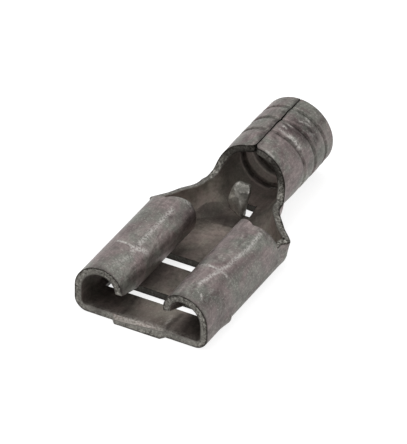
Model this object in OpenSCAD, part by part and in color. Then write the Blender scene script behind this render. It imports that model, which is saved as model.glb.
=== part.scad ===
// Female spade terminal, one stamped strip: a rolled tab socket, a waist and a closed wire barrel.
// Millimetres. X is across the tab, Y runs from the tab mouth to the wire end, Z is up.
// A share is a part of the length or height that its comment names.

/* [Strip] */
// Thickness of the sheet
sheet = 0.42; // [0.3:0.01:0.5]
// Overall length of the strip, without the cut-off tab at the mouth
whole_length = 17.15; // [15:0.05:20]
// Length of the wire barrel
barrel_length = 5.15; // [4.6:0.05:6]
// Rollover left by the shear on the outer front edge
rollover = 0.08; // [0.05:0.01:0.15]

/* [Socket] */
// Outside width over the two rolls
socket_width = 7.76; // [7.2:0.05:8.4]
// Height from the underside of the floor to the crest of a roll
socket_height = 2.95; // [2.7:0.05:3.4]
// Length of the floor and walls of the socket
socket_length = 7.9; // [7:0.05:9]
// Outer radius of the fold between floor and wall
floor_fold = 0.74; // [0.5:0.01:0.9]
// Outer radius of a roll on its wall side
wall_roll = 1.53; // [1.2:0.01:1.7]
// Outer radius of the left roll on its lip side
left_lip_roll = 1.27; // [0.95:0.01:1.3]
// Outer radius of the right roll on its lip side
right_lip_roll = 1.05; // [0.95:0.01:1.3]
// How far past level each roll goes on before its straight lip, in degrees
lip_turn = 12; // [5:1:20]
// Height of the two lips over the underside
lip_height = 1.09; // [1:0.01:1.2]
// Height of a lip's front corner, cut back for the tab to enter
mouth_lip_height = 1.7; // [1.5:0.05:1.9]
// How far back the cut on a lip's front corner runs
mouth_lip_cut = 1.7; // [1:0.1:2.5]

/* [Roll ends] */
// How far the rear end of a roll stays in front of the socket's end at its crest
crest_back = 0.62; // [0.3:0.01:0.8]
// How far it stays in front of it on the wall side
wall_back = 0.28; // [0.1:0.01:0.5]
// Height of the walls behind the rolls
wall_height = 1.7; // [1.6:0.05:1.9]

/* [Floor slots] */
// Start of the front slot
front_slot_start = 1.95; // [1.6:0.05:2.3]
// Distance from the rear slot's start to the socket's end
rear_slot_back = 2.72; // [2.2:0.05:3]
// Width of both slots along the strip
slot_width = 0.84; // [0.6:0.02:1]
// Length of the front slot across the floor
front_slot_span = 6.5; // [5:0.1:6.6]
// Length of the rear slot across the floor
rear_slot_span = 5.2; // [4:0.1:6]
// How far the fold is pushed out beside the front slot
ear_out = 0.1; // [0.05:0.01:0.2]
// Length of the pushed-out place along the fold
ear_length = 0.8; // [0.5:0.05:1.2]

/* [Cut-off tab] */
// Width of the cut-off tab at its root
cutoff_width = 2.95; // [2.5:0.05:4]
// How far the cut-off tab stands out of the mouth
cutoff_out = 0.25; // [0.15:0.01:0.4]

/* [Waist] */
// How far the rim bulges out behind the rolls
bulge_out = 0.3; // [0:0.01:0.4]
// Half width of the neck
neck_half = 2.43; // [2.3:0.05:2.8]
// Height of the rim at the neck
neck_rim = 1.93; // [1.8:0.01:2.1]
// Dip of the rim right behind the rolls
rim_dip = 0.04; // [0:0.01:0.1]
// Rise of the rim from the neck to the foot of the barrel's front edge
rim_lift = 0.3; // [0.2:0.02:0.4]
// Distance from the rim's end at the barrel to the barrel's top
rim_end_drop = 0.56; // [0.4:0.02:0.8]
// Where the walls start to close in, as a share of the waist
close_from = 0.098; // [0.05:0.005:0.2]
// Where they reach the neck, as a share of the waist
close_to = 0.683; // [0.6:0.005:0.8]
// Length of the run from the neck into the barrel, as a share of the waist
neck_run = 0.366; // [0.3:0.005:0.5]

/* [Tab stop] */
// Distance from the tab stop's foot to the barrel's front edge
stop_lead = 1.26; // [1:0.02:1.6]
// Height of the tab stop's head over the underside
stop_height = 2.2; // [1.7:0.05:2.4]
// Height of the sloping head alone
stop_head = 0.68; // [0.5:0.02:0.8]
// Sideways place of the tab stop
stop_side = -0.22; // [-0.3:0.01:0.3]
// Width of the tab stop's head
stop_width = 1.14; // [0.9:0.01:1.3]
// Width of the tab stop's foot
stop_foot = 0.56; // [0.4:0.01:0.8]
// Thickness of the tab stop along the strip
stop_deep = 0.62; // [0.4:0.02:0.8]
// Length of the hole that the stop was lanced from
stop_hole_length = 1.02; // [0.7:0.01:1.1]

/* [Wire barrel] */
// Outer radius of the barrel
barrel_radius = 2.07; // [1.8:0.01:2.4]
// How far the barrel swells between the crimp grooves
barrel_swell = 0.03; // [0:0.01:0.06]
// Depth of the crimp grooves outside
groove_depth = 0.085; // [0.04:0.005:0.1]
// Depth of the wire grooves inside
bite_depth = 0.09; // [0.04:0.005:0.1]
// Gap of the butt seam
seam_gap = 0.1; // [0.06:0.01:0.3]
// Sideways place of the seam
seam_side = 0.09; // [-0.2:0.01:0.2]
// Width of the seam over its rounded edges
seam_mouth = 0.34; // [0.24:0.01:0.5]
// Radius of the strip's corners at the front of the seam
seam_corner = 0.36; // [0.2:0.01:0.5]

/* [Hidden] */
tin = [0.52, 0.5, 0.48];
fine = 7.5;
wafer = sheet / 20;
bore_radius = barrel_radius - sheet;
half_width = socket_width / 2;
barrel_start = whole_length - barrel_length;
waist_run = barrel_start - socket_length;
early_share = 0.86;
early_steps = 20;
rim_steps = 9;
section_steps = 17;
groove_count = 3;
first_groove_share = 0.353;
groove_pitch_share = 0.231;
groove_pitch = barrel_length * groove_pitch_share;
centre = [0, -(whole_length - cutoff_out) / 2, 0];

// One arc as a list of points
function arc(middle, radius, from, to) =
  let (n = max(2, round(abs(to - from) / fine)))
  [for (i = [0:n]) let (a = from + (to - from) * i / n)
    middle + radius * [cos(a), sin(a)]];

function turned(list) = [for (i = [len(list) - 1:-1:0]) list[i]];
function flipped(list) = [for (p = turned(list)) [-p[0], p[1]]];
function clamp(t) = min(1, max(0, t));
function smooth(t) = let (u = clamp(t)) u * u * (3 - 2 * u);
function mixed(a, b, t) = a + (b - a) * t;

// One roll with its lip, from the lip's tip to the wall, at a depth under the outer skin
function lip_drop(lip_roll) = socket_height - lip_roll - lip_roll * sin(lip_turn) - lip_height;
function roll_side(depth, lip_roll) = let (
    crest = -half_width + wall_roll,
    lip_centre = [crest, socket_height - lip_roll],
    wall_centre = [crest, socket_height - wall_roll],
    curl = arc(lip_centre, lip_roll - depth, -lip_turn, 90),
    down = [-sin(lip_turn), -cos(lip_turn)] * lip_drop(lip_roll) / cos(lip_turn)
  )
  concat([curl[0] + down], curl, arc(wall_centre, wall_roll - depth, 90 + fine, 180));
function fold_side(depth) =
  arc([-half_width + floor_fold, floor_fold], floor_fold - depth, 180, 270);
function skin(depth) = concat(
  roll_side(depth, left_lip_roll), fold_side(depth),
  flipped(fold_side(depth)), flipped(roll_side(depth, right_lip_roll))
);
function socket_loop(front) = concat(skin(front), turned(skin(sheet)));

// The waist's shape at a share of its run, from 0 at the socket to 1 at the barrel
function waist_half(t) =
  barrel_radius
  + (half_width - neck_half) * (1 - smooth((t - close_from) / (close_to - close_from)))
  + (neck_half - barrel_radius) * (1 - smooth((t - close_to) / neck_run));
function waist_bulge(t, z) =
  bulge_out * smooth(t / 0.134) * (1 - smooth((t - 0.122) / 0.22)) * pow(clamp(z / wall_height), 1.5);
function waist_fold(t) =
  min(waist_half(t), mixed(floor_fold, barrel_radius, smooth((t - 0.073) / 0.83)));
function waist_round(t) = smooth((t - 0.415) / 0.488);
function waist_rim(t) =
  wall_height - rim_dip * smooth(t / 0.12)
  + (neck_rim - wall_height + rim_dip) * smooth((t - 0.17) / 0.32)
  + rim_lift * smooth((t - 0.793) / 0.146)
  + (2 * barrel_radius - rim_end_drop - neck_rim - rim_lift) * pow(clamp((t - 0.89) / 0.11), 2.2);
function waist_slope(t) = (waist_half(t + 0.01) - waist_half(t - 0.01)) / 0.02 / waist_run;

// Half of one waist section from the floor's middle to the rim, at a depth under the outer skin
function waist_side(t, depth) = let (
    half = waist_half(t),
    fold = waist_fold(t),
    thick = depth * sqrt(1 + pow(waist_slope(t), 2)),
    round = waist_round(t),
    over = max(0, waist_rim(t) - fold),
    under = max(0, fold - waist_rim(t)),
    fold_run = fold * (90 - asin(under / fold)) * PI / 180,
    over_run = (1 - round) * over + round * half * asin(min(0.97, over / half)) * PI / 180,
    run = fold_run + over_run
  )
  [for (i = [0:section_steps]) let (
      s = run * i / section_steps,
      a = min(s, fold_run) / fold * 180 / PI,
      u = max(0, s - fold_run),
      b = round * u / half * 180 / PI
    )
    u > 0
      ? [half * mixed(1, cos(b), round) - thick * cos(b),
         fold + (1 - round) * u + (round > 0 ? half * sin(b) : 0) - depth * sin(b)]
      : [half - fold + (fold - thick) * sin(a), fold - (fold - depth) * cos(a)]
  ];
function waist_skin(t, depth) = let (
    side = [for (p = waist_side(t, depth)) [p[0] + waist_bulge(t, p[1]), p[1]]]
  )
  concat([for (p = turned(side)) [-p[0], p[1]]], side);
function waist_loop(t, squeeze) =
  concat(waist_skin(t, squeeze), turned(waist_skin(t, sheet - squeeze)));

// A solid through closed loops of points, one loop at each place along Y
module loft(places, loops) {
  n = len(loops[0]);
  m = len(loops);
  points = [for (k = [0:m - 1]) for (p = loops[k]) [p[0], places[k], p[1]]];
  sides = [for (k = [0:m - 2]) for (i = [0:n - 1]) let (j = (i + 1) % n)
    each [[k * n + i, k * n + j, (k + 1) * n + j], [k * n + i, (k + 1) * n + j, (k + 1) * n + i]]];
  strips = [for (i = [0:n / 2 - 2]) [i, i + 1, n - 2 - i, n - 1 - i]];
  last = [1, 1, 1] * (m - 1) * n;
  caps = [for (q = strips) each [
    [q[0], q[2], q[1]],
    [q[0], q[3], q[2]],
    [q[0], q[1], q[2]] + last,
    [q[0], q[2], q[3]] + last
  ]];
  polyhedron(points = points, faces = concat(sides, caps), convexity = 8);
}

module along_y(from, to) {
  translate([0, to, 0])
    rotate([90, 0, 0])
      linear_extrude(to - from)
        children();
}

module along_x(from, to) {
  translate([from, 0, 0])
    rotate([90, 0, 90])
      linear_extrude(to - from)
        children();
}

module slot_cut(start, span) {
  run = span - slot_width;
  translate([0, start + slot_width / 2, -sheet])
    linear_extrude(3 * sheet) {
      square([run, slot_width], center = true);
      for (side = [-1, 1])
        translate([side * run / 2, 0])
          circle(d = slot_width, $fn = 24);
    }
}

// Cuts the lips' front corners back
module mouth_cut() {
  inner = half_width - wall_roll - sheet / 2;
  low = (lip_height + sheet) / 2;
  along_x(-inner, inner)
    polygon([
      [-sheet, low],
      [-sheet, mouth_lip_height],
      [0, mouth_lip_height],
      [mouth_lip_cut, lip_height],
      [mouth_lip_cut, low]
    ]);
}

// Cuts the rear end of a roll to a shallow V, down to the height of the wall
module rear_cut(side) {
  crest = half_width - wall_roll + sheet / 2;
  lip = half_width - wall_roll - max(left_lip_roll, right_lip_roll) - sheet / 2;
  out = half_width + sheet;
  slope = (crest_back - wall_back) / (half_width - crest);
  translate([0, 0, wall_height])
    linear_extrude(socket_height)
      polygon([
        [side * out, socket_length - crest_back + slope * (out - crest)],
        [side * crest, socket_length - crest_back],
        [side * lip, socket_length],
        [side * lip, socket_length + sheet],
        [side * out, socket_length + sheet]
      ]);
}

module socket() {
  difference() {
    union() {
      along_y(rollover, socket_length)
        polygon(socket_loop(0));
      loft([0, rollover], [socket_loop(rollover), socket_loop(0)]);
    }
    slot_cut(front_slot_start, front_slot_span);
    slot_cut(socket_length - rear_slot_back, rear_slot_span);
    mouth_cut();
    rear_cut(-1);
    rear_cut(1);
  }
}

// The fold pushed outwards beside the front slot, as a wedge that ends square
module ear(side) {
  middle = [side * (half_width - floor_fold), floor_fold];
  low = side > 0 ? -42 : 222;
  high = side > 0 ? -3 : 183;
  inside = arc(middle, floor_fold - sheet * 0.75, high, low);
  reach = [for (out = [0, ear_out])
    concat(arc(middle, floor_fold + out - wafer / 5, low, high), inside)];
  loops = side > 0 ? reach : [for (r = reach) turned(r)];
  start = front_slot_start - ear_length * 0.38;
  loft([start, start + ear_length], loops);
}

// What is left of the carrier strip, its sides cut at a slant
module cutoff_tab() {
  rear = rollover * 2;
  difference() {
    along_x(-cutoff_width / 2, cutoff_width / 2)
      polygon([
        [rear, 0],
        [rear, sheet],
        [-wafer, sheet],
        [-cutoff_out, rollover],
        [-cutoff_out, 0]
      ]);
    for (side = [-1, 1])
      translate([side * cutoff_width / 2, 0, 0])
        rotate([0, 0, side * 45])
          translate([side > 0 ? 0 : -cutoff_width, -cutoff_width, -sheet])
            cube([cutoff_width, 2 * cutoff_width, 3 * sheet]);
  }
}

module waist() {
  shares = concat(
    [for (i = [0:early_steps - 1]) early_share * i / early_steps],
    [for (i = [0:rim_steps]) mixed(early_share, 1, i / rim_steps)]
  );
  overlap = sheet * 0.7;
  loft(
    concat([for (t = shares) socket_length + waist_run * t], [barrel_start + overlap]),
    concat([for (t = shares) waist_loop(t, t < 1 ? 0 : wafer)], [waist_loop(1, wafer)])
  );
}

module stop_hole() {
  translate([stop_side - stop_foot / 2, barrel_start - stop_lead + sheet / 2, -sheet])
    cube([stop_foot * 1.65, stop_hole_length, 3 * sheet]);
}

// The lanced tab that stops the spade, as what three slabs have in common
module tab_stop() {
  place = barrel_start - stop_lead;
  knee = stop_height - stop_head;
  half = stop_width / 2;
  foot = stop_foot / 2;
  intersection() {
    translate([stop_side, place, sheet / 2])
      linear_extrude(stop_height)
        polygon([
          [stop_width * 0.11, 0],
          [half, stop_deep * 0.35],
          [half, stop_deep],
          [-half, stop_deep],
          [-half, stop_deep * 0.48]
        ]);
    along_x(-stop_width * 2, stop_width * 2)
      polygon([
        [place - stop_deep, 0],
        [place - stop_deep, knee * 0.72],
        [place, knee],
        [place + stop_deep * 0.73, stop_height],
        [place + stop_deep * 0.92, stop_height],
        [place + stop_deep * 0.73, 0]
      ]);
    translate([stop_side, 0, 0])
      along_y(place - stop_deep, place + stop_deep)
        polygon([
          [-foot, 0],
          [-foot, stop_height * 0.25],
          [-half, stop_height * 0.55],
          [-half, stop_height * 0.86],
          [-half / 2, stop_height],
          [half * 0.74, stop_height],
          [half, stop_height * 0.91],
          [foot * 1.2, stop_height * 0.48],
          [foot, 0]
        ]);
  }
}

// The barrel's wall as a turned profile: radius, place
function groove_place(k) = barrel_start + barrel_length * first_groove_share + k * groove_pitch;
function outer_grooves() = [for (k = [0:groove_count - 1]) let (y = groove_place(k)) each [
  [barrel_radius + barrel_swell, y - groove_pitch * 0.41],
  [barrel_radius - groove_depth * 0.55, y - groove_pitch * 0.165],
  [barrel_radius - groove_depth, y],
  [barrel_radius + barrel_swell * (k < groove_count - 1 ? 1 : 0), y + groove_pitch * 0.1]
]];
function inner_bites() = [for (k = [groove_count - 1:-1:0]) let (y = groove_place(k)) each [
  [bore_radius, y + groove_pitch * 0.43],
  [bore_radius + bite_depth, y + groove_pitch * 0.36],
  [bore_radius + bite_depth, y + groove_pitch * 0.13],
  [bore_radius, y + groove_pitch * 0.08]
]];

module barrel() {
  edge = sheet * 0.13;
  translate([0, 0, barrel_radius])
    rotate([-90, 0, 0])
      rotate_extrude($fn = 72)
        polygon(concat(
          [
            [bore_radius, barrel_start],
            [barrel_radius - edge, barrel_start],
            [barrel_radius, barrel_start + edge]
          ],
          outer_grooves(),
          [
            [barrel_radius, whole_length - edge],
            [barrel_radius - edge, whole_length],
            [bore_radius + edge, whole_length],
            [bore_radius, whole_length - edge]
          ],
          inner_bites()
        ));
}

// One front corner of the strip, rounded where the two edges meet at the seam
module seam_corner_cut(side) {
  edge = side * seam_gap / 2;
  front = barrel_start - sheet;
  difference() {
    translate([min(0, edge + side * seam_corner), front])
      square([seam_corner + seam_gap / 2, sheet + seam_corner]);
    translate([edge + side * seam_corner, barrel_start + seam_corner])
      circle(r = seam_corner, $fn = 32);
  }
}

module seam_cut() {
  top = 2 * barrel_radius;
  front = barrel_start - sheet;
  rear = whole_length + sheet;
  translate([seam_side, 0, 0]) {
    translate([-seam_gap / 2, front, barrel_radius])
      cube([seam_gap, rear - front, top]);
    along_y(front, rear)
      polygon([
        [-seam_mouth / 2, top + seam_mouth],
        [-seam_mouth / 2, top],
        [-seam_mouth / 4, top - sheet * 0.15],
        [-seam_gap / 2, top - sheet * 0.4],
        [seam_gap / 2, top - sheet * 0.4],
        [seam_mouth / 4, top - sheet * 0.15],
        [seam_mouth / 2, top],
        [seam_mouth / 2, top + seam_mouth]
      ]);
    for (side = [-1, 1])
      translate([0, 0, barrel_radius + sheet])
        linear_extrude(barrel_radius)
          seam_corner_cut(side);
  }
}

module terminal() {
  translate(centre)
    color(tin) {
      difference() {
        union() {
          socket();
          waist();
        }
        stop_hole();
      }
      difference() {
        barrel();
        seam_cut();
      }
      cutoff_tab();
      ear(-1);
      ear(1);
      tab_stop();
    }
}

terminal();
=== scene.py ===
import functools
import math
import bpy
from mathutils import Matrix, Vector, kdtree, noise


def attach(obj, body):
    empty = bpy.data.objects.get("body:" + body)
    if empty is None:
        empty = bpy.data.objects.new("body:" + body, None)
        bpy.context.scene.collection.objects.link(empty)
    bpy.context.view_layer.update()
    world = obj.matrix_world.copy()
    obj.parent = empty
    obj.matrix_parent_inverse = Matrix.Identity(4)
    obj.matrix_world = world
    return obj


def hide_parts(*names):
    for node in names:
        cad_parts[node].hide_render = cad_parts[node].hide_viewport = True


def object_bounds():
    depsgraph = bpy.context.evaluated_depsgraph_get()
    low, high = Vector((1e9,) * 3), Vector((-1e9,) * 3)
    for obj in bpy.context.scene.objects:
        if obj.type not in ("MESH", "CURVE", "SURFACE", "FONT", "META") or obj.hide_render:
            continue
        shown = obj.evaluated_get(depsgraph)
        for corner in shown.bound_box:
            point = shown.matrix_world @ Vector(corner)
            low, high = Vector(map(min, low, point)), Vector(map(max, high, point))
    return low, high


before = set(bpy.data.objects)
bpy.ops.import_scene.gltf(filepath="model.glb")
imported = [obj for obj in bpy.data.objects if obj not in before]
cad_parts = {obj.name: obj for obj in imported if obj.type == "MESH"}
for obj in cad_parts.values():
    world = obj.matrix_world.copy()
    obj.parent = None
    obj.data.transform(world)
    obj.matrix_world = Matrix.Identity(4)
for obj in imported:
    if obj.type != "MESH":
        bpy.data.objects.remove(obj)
cadBox = [list(corner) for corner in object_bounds()]
millimetre = 0.001


def setMode(mode):
    bpy.ops.object.mode_set(mode=mode)


def selectMesh(action):
    bpy.ops.mesh.select_all(action=action)


def clearSelection():
    if bpy.context.object and bpy.context.object.mode != "OBJECT":
        setMode("OBJECT")
    bpy.ops.object.select_all(action="DESELECT")


def smooth(t):
    t = min(1.0, max(0.0, t))
    return t * t * (3 - 2 * t)


# from 0 to 1 over a run that begins at start
def rising(value, start, run):
    return smooth((value - start) / run)


def mixed(a, b, t):
    return a + (b - a) * t


def choose(piece):
    clearSelection()
    piece.select_set(True)
    bpy.context.view_layer.objects.active = piece


def applyModifiers(piece):
    choose(piece)
    for modifier in list(piece.modifiers):
        bpy.ops.object.modifier_apply(modifier=modifier.name)


clearSelection()

cameraPlace = {
    "azimuth": 28.2988,      # degrees round from the mouth
    "elevation": 35.3811,
    "roll": 0.7422,
    "distance": 302.93,      # millimetres
    "scale": 19.2502,        # size of the view at the aim point, per millimetre
    "aim": (0.0, -0.45, 1.5),
    "aside": -12.2845,
    "above": 4.4795,
    "longSide": 444,
    "sensorWidth": 36.0,
    "clip": (0.01, 5.0),     # metres
}


def makeCamera(place):
    azimuth, elevation, roll = (math.radians(place[k]) for k in ("azimuth", "elevation", "roll"))
    back = Vector((math.sin(azimuth) * math.cos(elevation), -math.cos(azimuth) * math.cos(elevation),
                   math.sin(elevation)))
    level = Vector((math.cos(azimuth), math.sin(azimuth), 0.0))
    upright = back.cross(level)
    right = math.cos(roll) * level + math.sin(roll) * upright
    above = -math.sin(roll) * level + math.cos(roll) * upright
    aim = Vector(place["aim"]) + right * place["aside"] / place["scale"]
    aim += above * place["above"] / place["scale"]
    data = bpy.data.cameras.new("productCamera")
    data.sensor_width = place["sensorWidth"]
    data.lens = place["scale"] * place["distance"] * data.sensor_width / place["longSide"]
    data.clip_start, data.clip_end = place["clip"]
    camera = bpy.data.objects.new("productCamera", data)
    bpy.context.scene.collection.objects.link(camera)
    turn = Matrix((right, above, back)).transposed().to_4x4()
    camera.matrix_world = Matrix.Translation((aim + back * place["distance"]) * millimetre) @ turn
    bpy.context.scene.camera = camera


makeCamera(cameraPlace)
print("camera placed")

# millimetres from the middle of the mouth; a pair that names a change is its start and its run,
# along the waist in shares of the waist
strip = {
    "sheet": 0.42,
    "rollover": 0.07,         # rounding of the punch-side edges
    "innerRollover": 0.4,     # the same on the other side, as a share
    "rolloverSteps": 3,
    "frontPlace": -8.45,      # where the mouth stands along Y
    "wholeLength": 17.15,
    "barrelStart": 12.0,
    "socketLength": 7.9,
    "halfWidth": 3.88,
    "height": 2.95,
    "floorFold": 0.74,
    "wallRoll": 1.53,
    "lipRoll": (1.27, 1.05),  # left, right
    "lipTurn": math.radians(12),
    "lipHeight": 1.09,
    "mouthLipHeight": 1.7,
    "mouthLipCut": 1.7,
    "wallHeight": 1.7,
    "rollEnd": (7.62, 7.28, 7.9),   # wall side, crest, lip
    "rollEndFrom": 6.2,       # ahead of this the rolls' rows run straight across
    "rollValley": (0.2, 1.45, 0.8),  # how far outside the crest, inner end, how round
    "frontSlot": (1.95, 2.79, 3.25),  # start, end, half span
    "rearSlot": (5.18, 6.1, 2.6),
    "cutoff": (-1.65, 1.46, 0.27),   # left, right, reach
    "cutoffTaper": 0.15,
    "ear": (1.65, 2.45, 0.1),        # start, end, how far out
    "earOpening": (0.7, 0.2),        # round the fold, in radians
    "earClosing": (1.45, 0.2),
    "neckHalf": 2.43,
    "closing": (0.098, 0.585),       # the walls close in to the neck
    "necking": (0.683, 0.317),       # the neck closes in to the barrel
    "folding": (0.073, 0.83),        # the fold opens to the barrel's radius
    "rounding": (0.415, 0.488),      # the straight walls turn round
    "neckRim": 1.93,
    "rimDip": 0.04,
    "rimDipping": (0, 0.12),
    "rimRising": (0.17, 0.32),
    "rimLift": 0.3,
    "rimLifting": (0.793, 0.146),
    "rimEndDrop": 0.56,
    "rimEnding": (0.89, 0.11),
    "rimEndPower": 2.2,
    "steepest": 0.97,         # how far round the half circle a rim may reach
    "bulge": 0.3,
    "bulging": (0, 0.134),
    "unbulging": (0.122, 0.22),
    "bulgePower": 1.5,
    "leaning": (0, 0.1),      # the rolled walls' lean runs out
    "barrelRadius": 2.07,
    "hole": (-0.5, 0.42, 10.95, 11.97),
    "fan": (10.95, 13.0),     # rows that fan out round the barrel's front corner
    "fanEase": (3, 0.75),     # power, share
    "edgePull": 8,            # how near the edge its line takes over
    "seam": (0.055, 0.095),   # how far right of the top the left and right edges stand
    "seamCorner": 0.36,
    "seamSettling": (13.0, 0.5),
    "seamWander": (0.05, 1.4),        # how far, how often
    "seamGape": (0.035, 14.9, 0.9),   # how far, where, how long
    "besideSeam": (0.5, 0.5),         # share of a groove's depth at the seam, run
    "grooves": (13.82, 15.0, 16.2),
    "grooveDrift": 0.2,       # how far the grooves run back down the right side
    "leftDrift": 0.35,        # the same on the left, as a share
    "driftTurn": 0.55,        # share of the half turn that they need for it
    "drifting": (12.5, 1.2),
    "undrifting": (16.3, 0.75),
    "grooveDepth": 0.1,
    "grooveSlope": (0.5, 0.35),       # long slope in front: length, share of the depth
    "grooveFlank": (0.22, 0.65),      # steep flank in front
    "grooveBack": 0.1,
    "swell": 0.03,
    "swelling": (0.2, 1.1),   # from the barrel's start
    "unswelling": (-0.1, 0.4),        # from the last groove
    "biteDepth": 0.13,
    "biteOpening": (0.08, 0.06),      # from the groove
    "biteClosing": (0.4, 0.1),
    "biteRidge": 0.06,
    "ridge": (0.02, 0.07),    # place behind the groove, half width
    "rimTip": (0.12, 1.2),    # the flared wall's rim tips outwards: how far, above which height
    "rimTipping": (0.1, 0.6),         # from the socket's end
    "rimUntipping": (2.6, 0.9),
    "tornAcross": (-1.3, 2.4),        # the tab's torn end, from left to right
    "tornDown": (0.2, 0.01),
    "tornShort": (0.25, 0.5),
    "uneven": (0.006, 4.3),   # how uneven every cut edge is, how often
    "tearSeed": 7,            # the same tears each run
    "smoothAngle": math.radians(40),
}

waistRun = strip["barrelStart"] - strip["socketLength"]
fanStart, fanEnd = strip["fan"]


# half width, fold radius, how round
def waistForm(t):
    radius = strip["barrelRadius"]
    half = radius + (strip["halfWidth"] - strip["neckHalf"]) * (1 - rising(t, *strip["closing"]))
    half += (strip["neckHalf"] - radius) * (1 - rising(t, *strip["necking"]))
    fold = min(half, mixed(strip["floorFold"], radius, rising(t, *strip["folding"])))
    return half, fold, rising(t, *strip["rounding"])


def rimHeight(t):
    wall, neck, dip, lift = (strip[k] for k in ("wallHeight", "neckRim", "rimDip", "rimLift"))
    rise = 2 * strip["barrelRadius"] - strip["rimEndDrop"] - neck - lift
    start, run = strip["rimEnding"]
    return (wall - dip * rising(t, *strip["rimDipping"])
            + (neck - wall + dip) * rising(t, *strip["rimRising"])
            + lift * rising(t, *strip["rimLifting"])
            + rise * min(1, max(0, (t - start) / run)) ** strip["rimEndPower"])


def rimDistance(t):
    half, fold, turn = waistForm(t)
    rim = rimHeight(t)
    over, under = max(0, rim - fold), max(0, fold - rim)
    folded = fold * (math.pi / 2 - math.asin(under / fold))
    curved = half * math.asin(min(strip["steepest"], over / half))
    return half - fold + folded + (1 - turn) * over + turn * curved


# distance along the skin from the floor's middle to a height on the lip
def lipDistance(side, height):
    roll = strip["lipRoll"][0 if side < 0 else 1]
    crest = strip["halfWidth"] - strip["floorFold"] + math.pi / 2 * (strip["floorFold"] + strip["wallRoll"])
    crest += strip["height"] - strip["wallRoll"] - strip["floorFold"]
    middle = strip["height"] - roll
    turnEnd = middle - roll * math.sin(strip["lipTurn"])
    if height > turnEnd:
        return crest + roll * (math.pi / 2 - math.asin((height - middle) / roll))
    return crest + roll * (math.pi / 2 + strip["lipTurn"]) + (turnEnd - height) / math.cos(strip["lipTurn"])


# across and up for a distance along the socket's skin
def socketPoint(side, s):
    flat = strip["halfWidth"] - strip["floorFold"]
    fold, roll = strip["floorFold"], strip["wallRoll"]
    lip, turn = strip["lipRoll"][0 if side < 0 else 1], strip["lipTurn"]
    crest, top = strip["halfWidth"] - roll, strip["height"]
    for run, place in (
        (flat, lambda d: (d, 0)),
        (fold * math.pi / 2, lambda d: (flat + fold * math.sin(d / fold), fold - fold * math.cos(d / fold))),
        (top - roll - fold, lambda d: (strip["halfWidth"], fold + d)),
        (roll * math.pi / 2,
         lambda d: (crest + roll * math.cos(d / roll), top - roll + roll * math.sin(d / roll))),
        (lip * (math.pi / 2 + turn),
         lambda d: (crest - lip * math.sin(d / lip), top - lip + lip * math.cos(d / lip))),
    ):
        if s <= run:
            return place(s)
        s -= run
    x, z = crest - lip * math.cos(turn), top - lip - lip * math.sin(turn)
    return x + s * math.sin(turn), z - s * math.cos(turn)


# the same on the waist
def waistPoint(t, s):
    half, fold, turn = waistForm(t)
    flat = half - fold
    if s <= flat:
        return s, 0
    if s <= flat + fold * math.pi / 2:
        a = (s - flat) / fold
        x, z = flat + fold * math.sin(a), fold - fold * math.cos(a)
    else:
        u = s - flat - fold * math.pi / 2
        b = turn * u / half
        x, z = half * mixed(1, math.cos(b), turn), fold + (1 - turn) * u + (half * math.sin(b) if turn else 0)
    lean = max(0, z - (strip["height"] - strip["wallRoll"])) ** 2 / (2 * strip["wallRoll"])
    x -= lean * (1 - rising(t, *strip["leaning"]))
    swell = strip["bulge"] * rising(t, *strip["bulging"]) * (1 - rising(t, *strip["unbulging"]))
    return x + swell * min(1, max(0, z / strip["wallHeight"])) ** strip["bulgePower"], z


def barrelPoint(s, inward):
    radius = strip["barrelRadius"]
    a = s / radius
    return (radius - inward) * math.sin(a), radius - (radius - inward) * math.cos(a)


def barrelSwell(y):
    grown = rising(y - strip["barrelStart"], *strip["swelling"])
    return strip["swell"] * grown * (1 - rising(y - strip["grooves"][-1], *strip["unswelling"]))


def grooveDrift(s, y):
    halfTurn = math.pi * strip["barrelRadius"]
    down = smooth((halfTurn - abs(s)) / (strip["driftTurn"] * halfTurn))
    window = rising(y, *strip["drifting"]) * (1 - rising(y, *strip["undrifting"]))
    return strip["grooveDrift"] * down * window * (1 if s > 0 else strip["leftDrift"])


def grooveDip(y):
    dip = 0
    for groove in strip["grooves"]:
        front = sum(share * rising(y - groove, -run, run)
                    for run, share in (strip["grooveSlope"], strip["grooveFlank"]))
        dip = max(dip, front * (1 - rising(y - groove, 0, strip["grooveBack"])))
    return dip * strip["grooveDepth"]


def biteDip(y):
    dip = 0
    place, width = strip["ridge"]
    for groove in strip["grooves"]:
        past = y - groove
        opened = rising(past, *strip["biteOpening"])
        dip += strip["biteDepth"] * opened * (1 - rising(past, *strip["biteClosing"]))
        dip -= strip["biteRidge"] * math.exp(-((past - place) / width) ** 2)
    return dip


# places between marks, evenly spread and never further apart than step(place)
def filled(marks, step):
    places = [marks[0]]
    for a, b in zip(marks, marks[1:]):
        n = max(1, math.ceil((b - a) / step((a + b) / 2)))
        places += [mixed(a, b, (i + 1) / n) for i in range(n)]
    return places


# the free edge from the neck's rim over the barrel's front corner to the seam: distance, place
def seamOutline(side):
    seam = math.pi * strip["barrelRadius"] - side * strip["seam"][0 if side < 0 else 1]
    start, corner = strip["barrelStart"], strip["seamCorner"]
    rimSteps, cornerSteps, crowding = 60, 12, 1.6
    line = []
    for i in range(rimSteps + 1):
        y = mixed(fanStart, start, 1 - (1 - i / rimSteps) ** crowding)
        line.append((rimDistance((y - strip["socketLength"]) / waistRun), y))
    last = line[-1][0]
    line += [(mixed(last, seam - corner, i / cornerSteps), start) for i in range(1, cornerSteps + 1)]
    line += [(seam - corner + corner * math.sin(a), start + corner - corner * math.cos(a))
             for a in (math.pi / (2 * cornerSteps) * i for i in range(1, cornerSteps + 1))]
    line.append((seam, fanEnd))
    return line


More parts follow.
